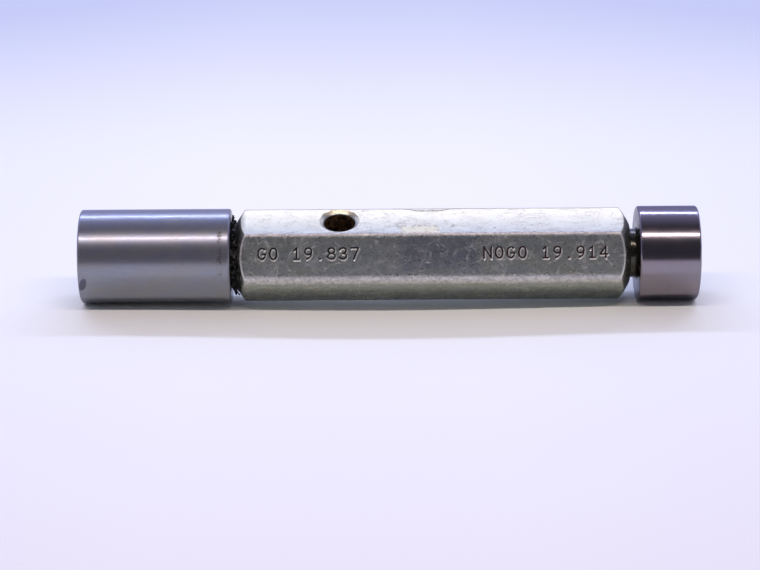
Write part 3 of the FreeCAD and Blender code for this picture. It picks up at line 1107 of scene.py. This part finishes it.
def holeMesh():
    # the drift hole's cutter, turned about Z and then laid into its flat
    flat, beyond = bar["Across Flats"] / 2, hole["beyond"]
    level = flat - bar["Crown"] * 0.3
    outline = roundOff(
        [
            (hole["radius"], 0, 0),
            (hole["radius"], flat - hole["sunk"], 0.3),
            (hole["mouth"], level, 0.25),
            (hole["mouth"] + 0.9, level + 0.09, 0),
            (hole["mouth"] + 0.9, beyond, 0),
        ]
    )
    outline = [Vector((0, 0))] + outline + [Vector((0, beyond))]
    edge = flat - hole["sunk"] - 0.12

    def band(one, other):
        return 1 if min(one.y, other.y) > edge else 0

    mesh = latheMesh("drift_hole", outline, 96, band, [steel["rust"], steel["plated"]])
    laid = Matrix.Rotation(math.radians(hole["turn"]), 4, "Z") @ Matrix.Rotation(math.radians(90), 4, "Y")
    mesh.transform(Matrix.Translation(axis * hole["height"] * mm) @ laid)
    return mesh


def boreMesh():
    # both taper sockets and the bore between them
    foot, top = bar["Foot"], bar["Foot"] + bar["Length"]
    bottom = bore["seat"] - bore["deep"] * turned["taper"]
    step = bore["deep"] + bottom - bore["radius"]
    mouth, out = bore["mouthBreak"], bore["beyond"]
    one = [
        (0, -out, 0),
        (bore["seat"] + mouth + out, -out, 0),
        (bore["seat"], mouth, 0.1),
        (bottom, bore["deep"], 0),
        (bore["radius"], step, 0),
    ]
    outline = [(x, foot + y, r) for x, y, r in one] + [(x, top - y, r) for x, y, r in reversed(one)]
    return latheMesh("bore", roundOff(outline), 128, lambda first, second: 0, [steel["bore"]])


def makeHandle():
    mesh = bakeTree(barTree(), {**bar, "Material": steel["plated"]})
    smoothByAngle(mesh, 180)
    tree = strokeTree()
    cuts = [holeMesh(), boreMesh(), bakeTree(nickTree(), {**nicks, "Material": steel["plated"]}, mesh.copy())]
    for text, start, paint in (
        ("GO 19.837", lettering["goFrom"], steel["goPaint"]),
        ("NOGO 19.914", lettering["nogoFrom"], steel["nogoPaint"]),
    ):
        for part, material in (("lip", steel["lip"]), ("groove", paint)):
            cut = lettering[part]
            values = {"Cutter Radius": cut["cutter"] * mm, "Material": material}
            cuts.append(
                bakeTree(tree, values, strokeMesh(text, start, cut["lift"], cut["lower"], cut["after"]))
            )
    handle = newObject("handle_plated", mesh)
    cutter = newObject("cutter", joinMeshes("cutters", cuts))
    carve = handle.modifiers.new("cut", "BOOLEAN")
    carve.operation, carve.solver, carve.use_self = "DIFFERENCE", "EXACT", True
    carve.material_mode = "TRANSFER"
    carve.object = cutter
    ready = handle.evaluated_get(bpy.context.evaluated_depsgraph_get())
    handle.data = bpy.data.meshes.new_from_object(ready)
    handle.modifiers.remove(carve)
    bpy.data.objects.remove(cutter)
    smoothByAngle(handle.data, 28)
    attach(handle, "root")
    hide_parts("handle")


makeHandle()
print("handle cut")

grease = {
    "Columns": 260,
    "Rings": 34,
    "Middle": 6.1,  # the mass's section, from the gauge's axis and up it
    "Height": 32.55,
    "Outward": 0.75,
    "Upward": 1.0,
    "Lumps": 1.7,
    "Strands": 26,
    "Thick": 0.21,
    "Seed": 5,
}
strands = {"rootRadius": 6.5, "rootHeight": 31.9, "outward": 2.0, "up": 1.5}


def greaseTree():
    # black grease squeezed out round the joint and dried: a lumpy mass that fills the groove between
    # the GO plug's back face and the handle's dome, with a few strands that stick out of it
    tree, given = newTree("dried_grease", grease)
    grid, x, y = flatGrid(tree, given)
    turn = product(tree, x, 2 * math.pi)
    section = product(tree, y, 2 * math.pi)

    inward = product(tree, addNode(tree, maths, "COSINE", section), given["Outward"])
    rise = addNode(tree, maths, "SINE", section)
    up = addNode(tree, maths, "MULTIPLY_ADD", rise, given["Upward"], given["Height"])

    def ring(reach):
        return rolled(tree, addNode(tree, maths, "MULTIPLY_ADD", inward, reach, given["Middle"]), turn, up)

    plain = ring(1.0)
    large = addNode(tree, "ShaderNodeTexNoise", {"Scale": 0.55, "Detail": 3.0}, Vector=plain)
    swell = product(tree, addNode(tree, mapRange, None, large, 0.32, 0.68, 0.06, 1), given["Lumps"])
    lumpy = ring(swell)
    small = addNode(tree, "ShaderNodeTexNoise", {"Scale": 1.5, "Detail": 2.0}, Vector=lumpy)
    centred = addNode(tree, vectorMaths, "SUBTRACT", small.outputs["Color"], (0.5, 0.5, 0.5))
    rougher = addNode(tree, vectorMaths, "MULTIPLY", centred, (1.3, 1.3, 0.4))
    ragged = addNode(tree, vectorMaths, "ADD", lumpy, rougher)
    closed = rollUp(tree, grid, ragged)

    # strands, strung from points on the mass
    roots = addNode(
        tree, "GeometryNodeMeshCircle", {"Radius": strands["rootRadius"] * mm}, Vertices=given["Strands"]
    )
    spots = addNode(
        tree, "GeometryNodeSetPosition", {"Offset": axis * strands["rootHeight"] * mm}, Geometry=roots
    )
    tip = (strands["outward"] * mm, 0, strands["up"] * mm)
    strand = addNode(tree, "GeometryNodeCurvePrimitiveLine", {"End": tip})
    fine = addNode(tree, "GeometryNodeResampleCurve", {"Count": 8}, Curve=strand)
    lean = addNode(
        tree,
        "FunctionNodeRandomValue",
        {"data_type": "FLOAT_VECTOR", 0: (-0.5, -0.5, -0.6), 1: (0.5, 0.5, 0.6)},
        Seed=given["Seed"],
    )
    outward = addNode(tree, "ShaderNodeCombineXYZ", None, Z=addNode(tree, maths, "ARCTAN2", y, x))
    both = addNode(tree, vectorMaths, "ADD", outward, lean)
    tall = addNode(
        tree, "FunctionNodeRandomValue", {"data_type": "FLOAT", 2: 0.4, 3: 1.1}, Seed=given["Seed"]
    )
    strung = addNode(
        tree, "GeometryNodeInstanceOnPoints", None, Points=spots, Instance=fine, Rotation=both, Scale=tall
    )
    loose = addNode(tree, "GeometryNodeRealizeInstances", None, Geometry=strung)
    here = addNode(tree, "GeometryNodeInputPosition")
    wander = addNode(tree, "ShaderNodeTexNoise", {"Scale": 900.0, "Detail": 2.0}, Vector=here)
    aside = addNode(tree, vectorMaths, "SUBTRACT", wander.outputs["Color"], (0.5, 0.5, 0.5))
    sideways = addNode(tree, vectorMaths, "SCALE", aside, Scale=1.2 * mm)
    bent = addNode(tree, "GeometryNodeSetPosition", None, Geometry=loose, Offset=sideways)
    lumps = addNode(tree, "ShaderNodeTexNoise", {"Scale": 1400.0, "Detail": 1.0}, Vector=here)
    thick = product(tree, given["Thick"], addNode(tree, mapRange, None, lumps, 0.35, 0.7, 0.5 * mm, 1.6 * mm))
    profile = addNode(tree, "GeometryNodeCurvePrimitiveCircle", {"Resolution": 7, "Radius": 1.0})
    tubes = addNode(
        tree, "GeometryNodeCurveToMesh", {"Fill Caps": True}, Curve=bent, Profile_Curve=profile, Scale=thick
    )
    joined = addNode(tree, "GeometryNodeJoinGeometry", None, [closed, tubes])
    endTree(tree, joined, given["Material"])
    return tree


def makeGrease():
    mesh = bakeTree(greaseTree(), {**grease, "Material": steel["grease"]})
    smoothByAngle(mesh, 70)
    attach(newObject("dried_grease", mesh), "root")


makeGrease()
print("grease strung")
